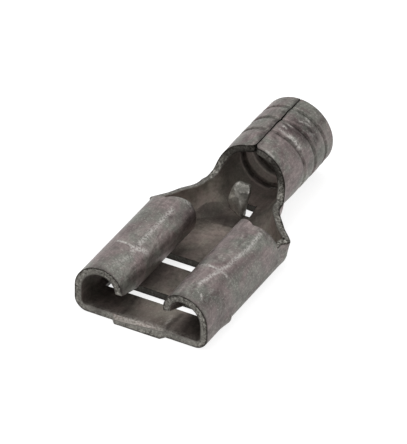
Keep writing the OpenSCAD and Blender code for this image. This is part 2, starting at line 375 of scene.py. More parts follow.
# the place at a share of a line's length
def alongLine(line, share):
    runs = [0]
    for a, b in zip(line, line[1:]):
        runs.append(runs[-1] + math.dist(a, b))
    want = share * runs[-1]
    for k in range(1, len(runs)):
        if want <= runs[k] + 1e-9:
            f = (want - runs[k - 1]) / (runs[k] - runs[k - 1])
            return tuple(mixed(line[k - 1][i], line[k][i], f) for i in (0, 1))
    return line[-1]


outlines = {side: seamOutline(side) for side in (-1, 1)}
rimSpread = rimDistance(0)
holdWidth = 0.8   # the columns this near the middle run straight


# how far back a roll reaches, from its wall side over the crest to the lip
def rearEnd(across):
    wall, crest, lip = strip["rollEnd"]
    past, end, power = strip["rollValley"]
    valley = strip["halfWidth"] - strip["wallRoll"] + past
    if across > valley:
        return mixed(crest, wall, (across - valley) / (strip["halfWidth"] - valley))
    return mixed(crest, lip, min(1, (valley - across) / (valley - end)) ** power)


# the butt seam wanders from side to side and gapes a little halfway
def seamWander(y):
    size, often = strip["seamWander"]
    return size * rising(y, *strip["seamSettling"]) * noise.noise((0, y * often, 0.3))


def seamGape(y):
    size, place, width = strip["seamGape"]
    return size * rising(y, *strip["seamSettling"]) * math.exp(-((y - place) / width) ** 2)


# a flat strip's column and row, to its folded place: across, along, up
def sheetPlace(column, row):
    side = -1 if column < 0 else 1
    c = abs(column)
    y = row
    if c > rimSpread:   # on a roll
        share = (c - rimSpread) / rollSpread
        lip = mixed(strip["mouthLipHeight"], strip["lipHeight"], min(1, max(0, y / strip["mouthLipCut"])))
        s = mixed(rimSpread, lipDistance(side, lip), share)
        x, z = socketPoint(side, s)
        start = strip["rollEndFrom"]
        if y > start:
            y = start + (y - start) * (rearEnd(x) - start) / (strip["rollEnd"][0] - start)
        return Vector((side * x, y, z))
    if y <= strip["socketLength"]:
        x, z = socketPoint(side, c)
        a = (c - strip["halfWidth"] + strip["floorFold"]) / strip["floorFold"]
        start, end, out = strip["ear"]
        if start < y < end:
            out *= (y - start) / (end - start)
            out *= rising(a, *strip["earOpening"]) * (1 - rising(a, *strip["earClosing"]))
            x, z = x + out * math.sin(a), z - out * math.cos(a)
        return Vector((side * x, y, z))
    edge, edgeY = rimSpread, y
    if y < fanStart:
        edge = rimDistance((y - strip["socketLength"]) / waistRun)
    elif y <= fanEnd:
        share = (y - fanStart) / (fanEnd - fanStart)
        power, ease = strip["fanEase"]
        edge, edgeY = alongLine(outlines[side], mixed(share, share ** power, ease))
    else:
        edge = outlines[side][-1][0] - side * seamWander(y) - (seamGape(y) if side < 0 else 0)
    s = c if c < holdWidth else holdWidth + (c - holdWidth) / (rimSpread - holdWidth) * (edge - holdWidth)
    y = mixed(y, edgeY, (c / rimSpread) ** strip["edgePull"])
    if y < strip["barrelStart"]:
        x, z = waistPoint((y - strip["socketLength"]) / waistRun, s)
    else:
        least, run = strip["besideSeam"]
        shallow = least + (1 - least) * smooth((outlines[side][-1][0] - s) / run)
        x, z = barrelPoint(s, shallow * (grooveDip(y) - barrelSwell(y)))
        y += grooveDrift(side * s, y)
    return Vector((side * x, y, z))


# columns and rows of the flat strip; the marks lie on edges and bends
grid = {
    "columnMarks": (0, 0.42, 0.5, 1.46, 1.65, 2.6, 3.14, 3.25, 4.302, 4.98),
    "rollSpread": 4.6,
    "rollColumns": 62,
    "wallFrom": 3,
    "wallStep": 0.09,
    "floorStep": 0.15,
    "rowMarks": (0, 0.12, 1.65, 1.95, 2.44, 2.47, 2.79, 5.18, 6.1, 7.62, 7.9, 10.95, 11.97, 13.0),
    "behindGroove": (0.44, 0.52),
    "rowSteps": ((0, 0.06), (2.5, 0.12), (3.2, 0.06), (10.95, 0.12), (12.4, 0.05), (13, 0.022), (99, 0.06)),
}
rollSpread = grid["rollSpread"]


def columnStep(c):
    return grid["wallStep"] if c > grid["wallFrom"] else grid["floorStep"]


def rowStep(y):
    return next(step for end, step in grid["rowSteps"] if y <= end)


halfColumns = filled((*grid["columnMarks"], rimSpread), columnStep)
halfColumns += [rimSpread + rollSpread * (i + 1) / grid["rollColumns"] for i in range(grid["rollColumns"])]
columns = [-c for c in reversed(halfColumns[1:])] + halfColumns
rowMarks = [-strip["cutoff"][2], *grid["rowMarks"], strip["wholeLength"]]
for groove in strip["grooves"]:
    rowMarks += [groove - strip["grooveSlope"][0], groove - strip["grooveFlank"][0], groove]
    rowMarks += [groove + place for place in (strip["grooveBack"], *grid["behindGroove"])]
rows = filled(sorted(rowMarks), rowStep)


def makeStrip():
    clearSelection()
    bpy.ops.mesh.primitive_grid_add(x_subdivisions=len(columns) - 1, y_subdivisions=len(rows) - 1, size=2.0)
    piece = bpy.context.object
    piece.name = "terminalStrip"
    mesh = piece.data
    stations = []
    for vertex in mesh.vertices:
        i = round((vertex.co.x + 1) / 2 * (len(columns) - 1))
        j = round((vertex.co.y + 1) / 2 * (len(rows) - 1))
        stations.append((columns[i], rows[j]))

    # the blank's own outline, slots and hole: faces that the punches take away
    cutLeft, cutRight, cutReach = strip["cutoff"]
    hole = strip["hole"]
    setMode("EDIT")
    bpy.ops.mesh.select_mode(type="FACE")
    selectMesh("DESELECT")
    setMode("OBJECT")
    for face in mesh.polygons:
        c = sum(stations[v][0] for v in face.vertices) / 4
        y = sum(stations[v][1] for v in face.vertices) / 4
        away = y < 0 and not cutLeft < c < cutRight
        away = away or (abs(c) > rimSpread and y > strip["rollEnd"][0])
        for slot in (strip["frontSlot"], strip["rearSlot"]):
            away = away or (slot[0] < y < slot[1] and abs(c) < slot[2])
        away = away or (hole[0] < c < hole[1] and hole[2] < y < hole[3])
        face.select = away
    for vertex, (c, y) in zip(mesh.vertices, stations):
        vertex.co = sheetPlace(c, y) + Vector((0, strip["frontPlace"], 0))
        if y < 0:
            vertex.co.x *= 1 - strip["cutoffTaper"] * (-y / cutReach)
        vertex.co *= millimetre
    setMode("EDIT")
    bpy.ops.mesh.delete(type="FACE")
    selectMesh("SELECT")
    bpy.ops.mesh.delete_loose()
    selectMesh("SELECT")
    bpy.ops.mesh.normals_make_consistent(inside=False)
    setMode("OBJECT")
    return piece


stripPiece = makeStrip()
print("strip folded:", len(stripPiece.data.polygons), "faces")


def thicken(piece):
    nearFloor = 0.05 * millimetre
    floorFaces = [f for f in piece.data.polygons if f.center.z < nearFloor]
    if sum(f.normal.z for f in floorFaces) > 0:   # the skin has to look down under the floor
        choose(piece)
        setMode("EDIT")
        selectMesh("SELECT")
        bpy.ops.mesh.flip_normals()
        setMode("OBJECT")
    wall = piece.modifiers.new("sheetThickness", "SOLIDIFY")
    wall.thickness = strip["sheet"] * millimetre
    wall.offset = -1
    wall.use_quality_normals = True
    wall.material_offset_rim, wall.material_offset = 1, 2
    applyModifiers(piece)


# in millimetres from the middle of the mouth
def stripPoint(place):
    return place / millimetre - Vector((0, strip["frontPlace"], 0))


# the vertices under one finish: 0 outside, 1 cut, 2 inside
def skinOf(mesh, kind):
    return {v for face in mesh.polygons if face.material_index == kind for v in face.vertices}


def pathDistance(point, path):
    best = 1e9
    for a, b in zip(path, path[1:]):
        a, b = Vector(a), Vector(b)
        share = max(0, min(1, (point - a).dot(b - a) / (b - a).length_squared))
        best = min(best, (point - a - (b - a) * share).length)
    return best


# wire grooves inside the barrel, and the torn end of the cut-off tab
def shapeInside(piece):
    sheet, radius = strip["sheet"], strip["barrelRadius"]
    tip, tipAbove = strip["rimTip"]
    edgeRoom = (0.02, 0.01)   # behind the barrel's start, ahead of the mouth
    cut = skinOf(piece.data, 1)
    for index in skinOf(piece.data, 2):
        co = piece.data.vertices[index].co / millimetre
        y = co.y - strip["frontPlace"]
        if index in cut and co.z > tipAbove and strip["socketLength"] < y < strip["barrelStart"]:
            behind = y - strip["socketLength"]
            co.z += tip * rising(behind, *strip["rimTipping"]) * (1 - rising(behind, *strip["rimUntipping"]))
        if y > strip["barrelStart"] + edgeRoom[0]:
            spoke = Vector((co.x, 0, co.z - radius))
            want = radius - sheet + biteDip(y)
            spoke *= want / spoke.length
            co = Vector((spoke.x, co.y, radius + spoke.z))
        elif y < -edgeRoom[1]:   # torn lower towards the left
            across = rising(co.x, *strip["tornAcross"])
            co.z = sheet + mixed(*strip["tornDown"], across) * y / strip["cutoff"][2]
            co.y += -y * mixed(*strip["tornShort"], across)
        piece.data.vertices[index].co = co * millimetre


# burrs and chips where the shear tore: path, half width, size
ragged = (
    (((0.28, 12.1, 4.1), (0.65, 12.0, 3.98), (1.15, 12.0, 3.7)), 0.16, 0.07),
    (((-0.3, 12.02, 4.1), (0.0, 12.2, 4.12)), 0.14, 0.06),
    (((1.1, -0.2, 0.2), (1.3, -0.1, 0.2)), 0.16, 0.06),
    (((-1.6, -0.05, 0.2), (-1.35, -0.2, 0.1)), 0.16, 0.04),
    (((-1.3, 0.0, 1.75), (-1.2, 0.6, 1.5)), 0.16, 0.04),
)


def tearEdges(piece, plan):
    noise.seed_set(strip["tearSeed"])
    mesh = piece.data
    least, often = strip["uneven"]
    for index in skinOf(mesh, 1):
        co = mesh.vertices[index].co
        point = stripPoint(co)
        size = least
        for path, width, height in plan:
            size = max(size, height * math.exp(-(pathDistance(point, path) / width) ** 2))
        mesh.vertices[index].co = co + noise.noise_vector(point * often) * size * millimetre


def roundEdges(piece):
    mesh = piece.data
    sides = {}
    for face in mesh.polygons:
        for key in face.edge_keys:
            sides.setdefault(key, []).append(face.material_index)
    weights = mesh.attributes.new("bevel_weight_edge", "FLOAT", "EDGE")
    rounded = {(0, 1): 1.0, (1, 2): strip["innerRollover"]}
    for edge in mesh.edges:
        weights.data[edge.index].value = rounded.get(tuple(sorted(sides[edge.key])), 0)
    rounding = piece.modifiers.new("shearRollover", "BEVEL")
    rounding.limit_method = "WEIGHT"
    rounding.width = strip["rollover"] * millimetre
    rounding.segments = strip["rolloverSteps"]
    rounding.use_clamp_overlap = True
    applyModifiers(piece)


def addNode(tree, kind, **values):
    node = tree.nodes.new(kind)
    for name, value in values.items():
        if hasattr(node, name):
            setattr(node, name, value)
        else:
            node.inputs[name.replace("_", " ")].default_value = value
    return node


def noiseOf(tree, place, scale, detail, roughness, distortion=0.0):
    node = addNode(tree, "ShaderNodeTexNoise", Scale=scale, Detail=detail, Roughness=roughness,
                   Distortion=distortion)
    tree.links.new(place, node.inputs["Vector"])
    return node.outputs["Fac"]


def ranged(tree, value, low, high, toLow, toHigh):
    node = addNode(tree, "ShaderNodeMapRange", From_Min=low, From_Max=high, To_Min=toLow, To_Max=toHigh)
    tree.links.new(value, node.inputs["Value"])
    return node.outputs["Result"]


def calculated(tree, operation, a, b):
    node = addNode(tree, "ShaderNodeMath", operation=operation)
    for socket, value in zip(node.inputs, (a, b)):
        if isinstance(value, (int, float)):
            socket.default_value = value
        else:
            tree.links.new(value, socket)
    return node.outputs["Value"]


def product(tree, a, b):
    return calculated(tree, "MULTIPLY", a, b)


# a noise that darkens and brightens by a share
def toned(tree, value, run, share):
    return ranged(tree, value, *run, 1 - share, 1 + share)


def marked(tree, name):
    return addNode(tree, "ShaderNodeAttribute", attribute_name=name).outputs["Fac"]


def blended(tree, share, first, second, kind="MIX"):
    node = addNode(tree, "ShaderNodeMix", data_type="RGBA", blend_type=kind)
    for socket, value in ((node.inputs[0], share), (node.inputs[6], first), (node.inputs[7], second)):
        if isinstance(value, (int, float)):
            socket.default_value = value
        elif isinstance(value, tuple):
            socket.default_value = (*value, 1.0)
        else:
            tree.links.new(value, socket)
    return node.outputs[2]


def inMillimetres(tree):
    return stretched(tree, addNode(tree, "ShaderNodeTexCoord").outputs["Object"], (1000, 1000, 1000))


def stretched(tree, place, scale):
    node = addNode(tree, "ShaderNodeMapping", Scale=scale)
    tree.links.new(place, node.inputs["Vector"])
    return node.outputs["Vector"]


def metal(name):
    finish = bpy.data.materials.new(name)
    finish.use_nodes = True
    shader = finish.node_tree.nodes["Principled BSDF"]
    shader.inputs["Metallic"].default_value = 1.0
    return finish, finish.node_tree, shader


def raised(tree, height, shader, plan):
    bump = addNode(tree, "ShaderNodeBump", Strength=plan["uneven"], Distance=plan["bumpDistance"])
    tree.links.new(height, bump.inputs["Height"])
    tree.links.new(bump.outputs["Normal"], shader.inputs["Normal"])


# rolled, handled and stained tin plate: patches, mottling, grain, streaks, scuffs and dirt, with painted
# light and shade, painted highlights and painted shade laid on by the marks
def tinnedFinish(name, plan):
    finish, tree, shader = metal(name)
    shader.inputs["Specular IOR Level"].default_value = 0.5
    place = inMillimetres(tree)
    patches, mottle, grain = (noiseOf(tree, place, *plan[k]) for k in ("patches", "mottle", "grain"))
    stains = noiseOf(tree, stretched(tree, place, plan["stainStretch"]), *plan["stains"])
    drawn = noiseOf(tree, stretched(tree, place, plan["drawnStretch"]), *plan["drawn"])
    scuffAndHighlight, grimeAndShade, blotch, paintedLightShade = (marked(tree, k) for k in ("scuffAndHighlight", "grimeAndShade", "stain", "paintedLightShade"))

    colour = blended(tree, ranged(tree, patches, *plan["cooling"], 0, 1), plan["warm"], plan["cool"])
    stained = ranged(tree, stains, *plan["staining"], 0, plan["stained"])
    blotched = product(tree, blotch, ranged(tree, mottle, *plan["blotching"]))
    stained = calculated(tree, "MAXIMUM", stained, blotched)
    colour = blended(tree, stained, colour, plan["stain"])
    tone = product(tree, toned(tree, mottle, plan["toning"], plan["mottled"]),
                   toned(tree, grain, plan["toning"], plan["grainy"]))
    tone = product(tree, tone, toned(tree, drawn, plan["streaking"], plan["streaky"]))
    # painted light and shade: this attribute raises or lowers the tone
    tone = product(tree, tone, calculated(tree, "ADD", paintedLightShade, 1.0))
    toneColour = addNode(tree, "ShaderNodeCombineColor")
    for channel in toneColour.inputs[:3]:
        tree.links.new(tone, channel)
    colour = blended(tree, 1.0, colour, toneColour.outputs["Color"], "MULTIPLY")
    # rubbed wear and painted highlights both lighten towards the bright colour
    rubbedAndHighlit = product(tree, scuffAndHighlight, ranged(tree, grain, *plan["rubbing"]))
    speckle = product(tree, ranged(tree, grain, *plan["speckling"], 0, plan["speckled"]),
                      ranged(tree, patches, *plan["speckledPatches"]))
    rubbedAndHighlit = calculated(tree, "MAXIMUM", rubbedAndHighlit, speckle)
    colour = blended(tree, rubbedAndHighlit, colour, plan["brightWearAndHighlight"])
    # real dirt and painted shade both darken towards the dark colour
    dirtyAndShaded = product(tree, grimeAndShade, ranged(tree, mottle, *plan["dirtying"]))
    colour = blended(tree, dirtyAndShaded, colour, plan["dirtAndShade"])
    tree.links.new(colour, shader.inputs["Base Color"])

    spread, rubbedOff, dirtyOn = plan["roughChange"]
    rough = ranged(tree, mottle, *plan["toning"], plan["rough"] - spread, plan["rough"] + spread)
    rough = calculated(tree, "SUBTRACT", rough, product(tree, rubbedAndHighlit, rubbedOff))
    rough = calculated(tree, "ADD", rough, product(tree, dirtyAndShaded, dirtyOn))
    tree.links.new(rough, shader.inputs["Roughness"])

    grainHeight, mottleHeight, drawnHeight = (
        product(tree, value, share) for value, share in zip((grain, mottle, drawn), plan["heights"]))
    height = calculated(tree, "ADD", grainHeight, mottleHeight)
    raised(tree, calculated(tree, "ADD", height, drawnHeight), shader, plan)
    return finish


outsidePlan = {
    "warm": (0.25, 0.208, 0.202),
    "cool": (0.208, 0.208, 0.186),
    "stain": (0.12, 0.09, 0.09),
    "brightWearAndHighlight": (0.62, 0.6, 0.57),
    "dirtAndShade": (0.03, 0.026, 0.024),
    "stained": 0.55,
    "mottled": 0.3,
    "grainy": 0.22,
    "streaky": 0.12,
    "speckled": 0.45,
    "rough": 0.48,
    "roughChange": (0.07, 0.12, 0.2),    # with the mottling, off where rubbed, on where dirty
    "uneven": 0.55,
    "heights": (0.45, 0.8, 0.6),         # of the grain, the mottling and the streaks
    "bumpDistance": 0.00003,             # metres
    # each noise: scale, detail, roughness, distortion
    "patches": (0.55, 4.0, 0.6, 0.4),
    "mottle": (2.6, 6.0, 0.68, 0.3),
    "grain": (9.0, 5.0, 0.75),
    "stains": (1.3, 5.0, 0.6, 0.8),
    "stainStretch": (1.0, 0.55, 1.0),
    "drawn": (1.0, 4.0, 0.6),
    "drawnStretch": (7.0, 0.7, 7.0),
    # what a noise does between two of its values, and from how much to how much
    "cooling": (0.42, 0.58),
    "staining": (0.52, 0.66),
    "blotching": (0.42, 0.52, 0.1, 1.0),
    "toning": (0.3, 0.7),
    "streaking": (0.35, 0.65),
    "rubbing": (0.42, 0.53, 0.05, 1.0),
    "speckling": (0.56, 0.66),
    "speckledPatches": (0.4, 0.6, 0.3, 1),
    "dirtying": (0.3, 0.62, 1.0, 0.55),
}
insidePlan = dict(outsidePlan, warm=(0.24, 0.2, 0.18), cool=(0.215, 0.195, 0.168), stain=(0.13, 0.1, 0.09),
                  mottled=0.2, grainy=0.14, streaky=0.06, speckled=0.12, rough=0.62, uneven=0.4)
# painted light: a lighter, rougher copy of the outside skin, so the stop's upright faces read as lit
litLancedPlan = dict(outsidePlan, warm=(0.28, 0.258, 0.236), cool=(0.262, 0.254, 0.23), stained=0.2,
                  mottled=0.25, grainy=0.2, rough=0.6)
shearedPlan = {
    "face": (0.14, 0.133, 0.118),
    "torn": (0.42, 0.405, 0.37),
    "dirtAndShade": (0.021, 0.018, 0.015),
    "rough": 0.55,
    "roughSpread": 0.1,
    "uneven": 0.8,
    "bumpDistance": 0.00005,
    "crumbs": (6.5, 6.0, 0.75, 0.3),     # scale, detail, roughness, distortion
    "patches": (1.4, 3.0, 0.6),
    "toning": (0.3, 0.7),
    "wobble": (-0.12, 0.12),             # how far the bands move
    "tearing": (0.5, 0.6, 0, 0.85),
    "pitting": (0.47, 0.4, 0, 0.9),
    "smearing": (0.4, 0.6, 0.0, 0.6),
    "outerBand": (0.08, 0.3, 0.9, 0.0),  # from the punch side
    "innerBand": (0.82, 1.0, 0.0, 0.75),
}


# the cut through the sheet: a sheared band, a torn band, dark where it meets the skins
def shearedFinish(name, plan):
    finish, tree, shader = metal(name)
    place = inMillimetres(tree)
    depth, scuffAndHighlight, grimeAndShade = (marked(tree, k) for k in ("depth", "scuffAndHighlight", "grimeAndShade"))
    crumbs, patches = (noiseOf(tree, place, *plan[k]) for k in ("crumbs", "patches"))
    wobble = calculated(tree, "ADD", depth, ranged(tree, crumbs, *plan["toning"], *plan["wobble"]))
    colour = blended(tree, ranged(tree, crumbs, *plan["tearing"]), plan["face"], plan["torn"])
    colour = blended(tree, ranged(tree, crumbs, *plan["pitting"]), colour, plan["dirtAndShade"])
    colour = blended(tree, ranged(tree, patches, *plan["smearing"]), colour, plan["face"])
    bands = (ranged(tree, wobble, *plan[k]) for k in ("outerBand", "innerBand"))
    colour = blended(tree, calculated(tree, "MAXIMUM", *bands), colour, plan["dirtAndShade"])
    # painted light on the mouth's cut face, painted shade on the cut walls inside slots and hole
    colour = blended(tree, scuffAndHighlight, colour, plan["torn"])
    colour = blended(tree, grimeAndShade, colour, plan["dirtAndShade"])
    tree.links.new(colour, shader.inputs["Base Color"])
    roughEnds = (plan["rough"] - plan["roughSpread"], plan["rough"] + plan["roughSpread"])
    tree.links.new(ranged(tree, crumbs, *plan["toning"], *roughEnds), shader.inputs["Roughness"])
    raised(tree, crumbs, shader, plan)
    return finish


finishes = [
    tinnedFinish("tinnedOutside", outsidePlan),
    shearedFinish("shearedEdge", shearedPlan),
    tinnedFinish("tinnedInside", insidePlan),
]
for finish in finishes:
    stripPiece.data.materials.append(finish)

thicken(stripPiece)
shapeInside(stripPiece)
tearEdges(stripPiece, ragged)
roundEdges(stripPiece)

# rubbed and dirty places, with places of painted light, shade and highlights, in millimetres from the middle
# of the mouth: path, half width, strength
marks = {
    "scuffAndHighlight": (
        (((-1.8, 2.3, 2.82), (-1.79, 3.5, 2.82), (-1.83, 4.3, 2.83), (-1.79, 4.9, 2.81), (-1.81, 6.6, 2.82)),
         0.13, 0.7),
        (((-2.92, 2.74, 2.84), (-2.45, 2.66, 2.94), (-1.96, 2.63, 2.89)), 0.065, 1.0),
        (((-1.9, 2.62, 2.87), (-1.62, 2.78, 2.7), (-1.36, 3.04, 2.45)), 0.16, 1.0),
        (((-1.25, 0.0, 1.75), (-1.18, 0.4, 1.6)), 0.12, 0.9),
        (((-2.6, 7.75, 2.95), (-1.9, 7.75, 2.85), (-1.45, 7.75, 2.55)), 0.14, 0.55),
        (((-0.5, -0.17, 0.32), (0.3, -0.13, 0.38), (1.1, -0.1, 0.42)), 0.05, 0.25),
        (((1.3, 0.1, 0.42), (1.2, 0.7, 0.42), (1.1, 1.3, 0.42)), 0.06, 0.4),
        # painted light on the mouth's cut face
        (((-3.0, 0.0, 0.3), (3.0, 0.0, 0.3)), 0.25, 0.42),
        (((-3.88, 7.7, 1.7), (-4.05, 8.2, 1.7)), 0.3, 0.35),
        (((2.63, 1.4, 2.92), (2.8, 2.4, 2.88), (3.04, 3.7, 2.78), (3.1, 4.6, 2.76), (3.2, 5.6, 2.7),
          (3.14, 7.0, 2.73)), 0.11, 0.75),
        (((1.73, 3.02, 2.74), (2.27, 2.99, 2.95), (2.63, 3.07, 2.92), (3.0, 3.09, 2.8), (3.38, 3.07, 2.55)),
         0.065, 1.0),
        (((3.03, 0.85, 2.79), (3.2, 0.62, 2.68)), 0.06, 0.8),
        (((3.25, 1.3, 2.64), (3.3, 1.75, 2.6)), 0.07, 0.4),
        (((-1.9, 1.0, 2.86), (-1.75, 1.7, 2.8), (-1.7, 2.2, 2.77)), 0.16, 0.35),
        (((0.96, 14.07, 3.9), (1.31, 14.13, 3.68), (1.62, 14.08, 3.36)), 0.13, 1.0),
        (((0.45, 14.15, 4.09), (0.75, 14.05, 4.0)), 0.08, 0.8),
        (((0.5, 14.9, 4.08), (0.75, 14.8, 4.0)), 0.1, 0.8),
        (((0.41, 14.5, 4.1), (0.6, 14.42, 4.05)), 0.08, 0.9),
        (((1.05, 16.0, 3.84), (1.2, 15.95, 3.75)), 0.08, 0.9),
        (((0.75, 12.15, 3.98), (1.16, 12.1, 3.75)), 0.08, 0.8),
        (((0.9, 15.5, 3.93), (1.3, 15.75, 3.68)), 0.08, 0.7),
        (((1.5, 15.3, 3.5), (1.7, 15.6, 3.25)), 0.07, 0.6),
        (((0.4, 12.0, 3.8), (0.7, 12.0, 3.75), (1.0, 12.0, 3.55)), 0.12, 1.0),
    ),
    # painted light and shade: tone lighter where the surface is lit, darker where it is shaded
    "paintedLightShade": (
        (((-1.2, 0.6, 2.0), (-1.2, 3.0, 1.9), (-1.2, 5.4, 1.9)), 0.75, 0.6),
        (((-1.2, 7.2, 2.1), (-1.15, 7.8, 1.9)), 0.5, -0.35),
        (((-1.0, 7.6, 0.42), (-0.3, 9.0, 0.42)), 0.8, 0.6),
        (((-3.4, 8.6, 1.2), (-2.6, 10.3, 1.4), (-2.2, 11.2, 1.6)), 0.9, 0.85),
        (((3.2, 8.8, 1.2), (2.5, 10.5, 1.3)), 0.9, 0.7),
        (((-0.6, 0.4, 0.42), (1.0, 0.4, 0.42)), 0.6, -0.3),
        (((0.8, 14.55, 3.97), (1.5, 14.85, 3.5)), 0.35, -0.4),
        (((1.0, 15.5, 3.87), (1.8, 15.6, 3.1)), 0.35, -0.35),
        (((2.0, 14.4, 2.6), (2.05, 15.4, 2.2)), 0.5, -0.15),
        (((3.6, 0.6, 2.3), (3.8, 1.8, 1.9)), 0.6, -0.25),
        (((-1.8, 10.2, 0.42), (0.4, 10.2, 0.42)), 0.7, -0.6),
        (((-1.3, 12.4, 1.1), (0.0, 12.4, 0.42), (1.3, 12.4, 1.1)), 0.6, 0.35),
        (((1.6, 14.0, 0.9), (0.9, 14.2, 0.5)), 0.9, 0.7),
    ),
    "stain": (
        (((0.5, 14.4, 4.07), (1.0, 14.55, 3.87), (1.5, 14.8, 3.5)), 0.3, 1.0),
        (((0.5, 15.45, 4.07), (1.1, 15.5, 3.83), (1.75, 15.6, 3.2)), 0.32, 1.0),
        (((0.9, 12.85, 3.93), (1.35, 12.75, 3.64)), 0.25, 0.8),
        (((1.2, 13.4, 3.75), (1.7, 13.5, 3.2)), 0.22, 0.7),
        (((0.9, 15.0, 3.93), (1.5, 15.1, 3.5)), 0.3, 1.0),
        (((0.42, 16.46, 4.1), (0.87, 16.53, 3.95)), 0.2, 0.6),
        (((-0.5, 15.5, 4.07), (-1.1, 15.6, 3.8)), 0.2, 0.4),
        (((1.5, 16.5, 3.5), (1.9, 16.4, 2.9)), 0.25, 0.4),
        (((3.3, 0.7, 2.6), (3.45, 1.9, 2.45)), 0.3, 0.7),
        (((2.3, 4.3, 2.95), (2.2, 5.4, 2.95)), 0.3, 0.35),
        (((3.3, 2.4, 2.6), (3.4, 4.4, 2.5), (3.5, 5.6, 2.4)), 0.3, 0.5),
        (((-2.6, 4.6, 2.95), (-2.3, 6.2, 2.95)), 0.35, 0.5),
        (((-2.5, 0.9, 2.95), (-2.2, 2.0, 2.95)), 0.3, 0.35),
    ),
    "grimeAndShade": (
        (((0.06, 11.9, 4.14), (0.04, 14.2, 4.14), (0.05, 17.2, 4.14)), 0.11, 0.95),
        (((-0.03, 13.0, 4.14), (-0.1, 14.3, 4.14), (-0.05, 15.6, 4.14)), 0.17, 0.9),
        # painted shadow on the barrel's front cut edge, left and right
        (((-1.5, 12.0, 3.3), (-0.7, 12.0, 3.8), (0.0, 12.0, 3.9)), 0.3, 0.8),
        (((1.2, 12.0, 3.4), (1.75, 12.0, 2.7), (1.85, 11.95, 2.1)), 0.3, 0.85),
        # painted shade on the floor under the rolls near the mouth, with the rolls' shadow lines along the
        # lips
        (((-2.5, 0.1, 0.42), (-1.9, 1.6, 0.42)), 0.6, 0.6),
        (((-1.25, 0.2, 0.42), (-1.2, 1.0, 0.42), (-1.3, 1.8, 0.42)), 0.15, 0.75),
        (((2.1, 0.3, 0.42), (2.5, 1.7, 0.42)), 0.6, 0.6),
        (((1.45, 0.1, 0.42), (1.38, 0.7, 0.42), (1.5, 1.6, 0.42)), 0.16, 0.8),
        # painted shade on the rolls' front faces at the mouth
        (((-2.5, 0.0, 2.9), (-1.9, 0.0, 2.75), (-1.45, 0.0, 2.2)), 0.25, 0.4),
        (((1.2, 0.0, 2.2), (1.5, 0.0, 2.8), (2.4, 0.0, 2.95)), 0.3, 0.45),
        (((0.2, 12.1, 4.1), (0.35, 12.05, 4.05), (0.6, 12.0, 3.95)), 0.08, 0.8),
        (((0.38, 13.8, 4.1), (0.86, 13.82, 3.95), (1.27, 13.92, 3.7)), 0.06, 1.0),
        (((0.5, 13.34, 4.08), (0.8, 13.24, 3.98)), 0.08, 0.75),
        (((0.37, 14.7, 4.11), (0.77, 14.62, 3.99)), 0.08, 0.75),
        (((1.3, 15.58, 3.68), (1.55, 15.56, 3.44)), 0.08, 0.85),
        (((1.83, 15.42, 3.03), (1.96, 15.42, 2.73)), 0.07, 0.85),
        (((2.05, 15.7, 2.4), (2.06, 15.75, 2.3)), 0.06, 0.85),
        (((1.68, 14.04, 3.28), (1.74, 14.05, 3.18)), 0.06, 0.95),
        (((1.68, 15.55, 3.28), (1.84, 15.71, 3.02)), 0.07, 0.7),
        (((1.0, 14.85, 3.88), (1.3, 14.95, 3.68)), 0.07, 0.7),
        (((0.55, 15.25, 4.06), (0.9, 15.3, 3.93)), 0.07, 0.7),
        (((1.2, 15.2, 3.75), (1.45, 15.35, 3.54)), 0.07, 0.6),
        (((1.7, 14.7, 3.25), (1.8, 14.9, 3.1)), 0.06, 0.5),
        (((0.3, 14.97, 4.07), (1.19, 15.0, 3.74), (1.77, 15.05, 3.14)), 0.06, 0.6),
        (((1.4, 14.2, 3.55), (1.5, 14.15, 3.45)), 0.05, 0.8),
        (((3.28, 4.1, 2.62), (3.1, 3.9, 2.74)), 0.06, 0.5),
        (((-1.92, 2.84, 2.87), (-1.84, 2.9, 2.85)), 0.06, 0.8),
        (((-1.7, 5.9, 2.77), (-1.5, 6.3, 2.63)), 0.1, 0.4),
    ),
}


# how strongly the lines mark a point; a negative strength counts too
def markLevel(point, lines):
    level = 0.0
    for path, width, strength in lines:
        if (point - Vector(path[0])).length > gathering["farFrom"] * width + reachOf(path):
            continue
        mark = strength * math.exp(-(pathDistance(point, path) / width) ** 2)
        if abs(mark) > abs(level):
            level = mark
    return level


@functools.cache
def reachOf(path):
    return max((Vector(place) - Vector(path[0])).length for place in path)


# where dirt gathers and ridges are rubbed, and where shade and highlights are painted; pairs are the start
# and the run of a change
gathering = {
    "farFrom": 3,                 # half widths past which a mark no longer counts
    "edge": (0.75, 0.1, 0.06),    # along the cut edges, the same where rubbed clean, half width
    "cleanAlong": (6.8, 9.0),     # the rear ends of the rolls are rubbed clean
    "cleanAcross": (-3.2, 3.2),
    "cleanAbove": 1.8,
    "flankShade": 0.42,                # painted shade: flanks are darker than crests
    "facingUp": (-0.1, 0.75),
    "fromLeft": (-1.6, 1.2),
    "behindGroove": (0.85, 0.03, 0.045),   # strength, how far behind, half width
    "punchedShade": (0.95, 0.35, (0.6, 0.3)),   # painted shade on the cut walls inside slots and hole: strength, less by, with the depth
    "punchedBelow": 0.1,          # above the floor
    "punchedFrom": 0.3,
    "barrel": (0.3, 0.1),         # painted shade in the bore: how far ahead of it, strength
    # painted shade in each bite, painted highlight on each ridge
    "biteShade": (0.8, (0.06, 0.05), (0.42, 0.12)),
    "ridge": (0.8, 0.02, 0.05),
    # painted shade inside the socket and the waist
    "floor": (0.5, (0.4, 0.6), (2, 2)),    # strength, upwards, backwards
    "neck": (0.3, (10.5, 1.5)),
    "sides": (0.5, (2.0, 0.8), (6, 1.5)),  # strength, outwards, backwards
}


def edgeDirt(point):
    left, right = gathering["cleanAcross"]
    start, end = gathering["cleanAlong"]
    clean = point.x < left or (point.z > gathering["cleanAbove"] and point.x < right)
    return gathering["edge"][1 if clean and start < point.y < end else 0]


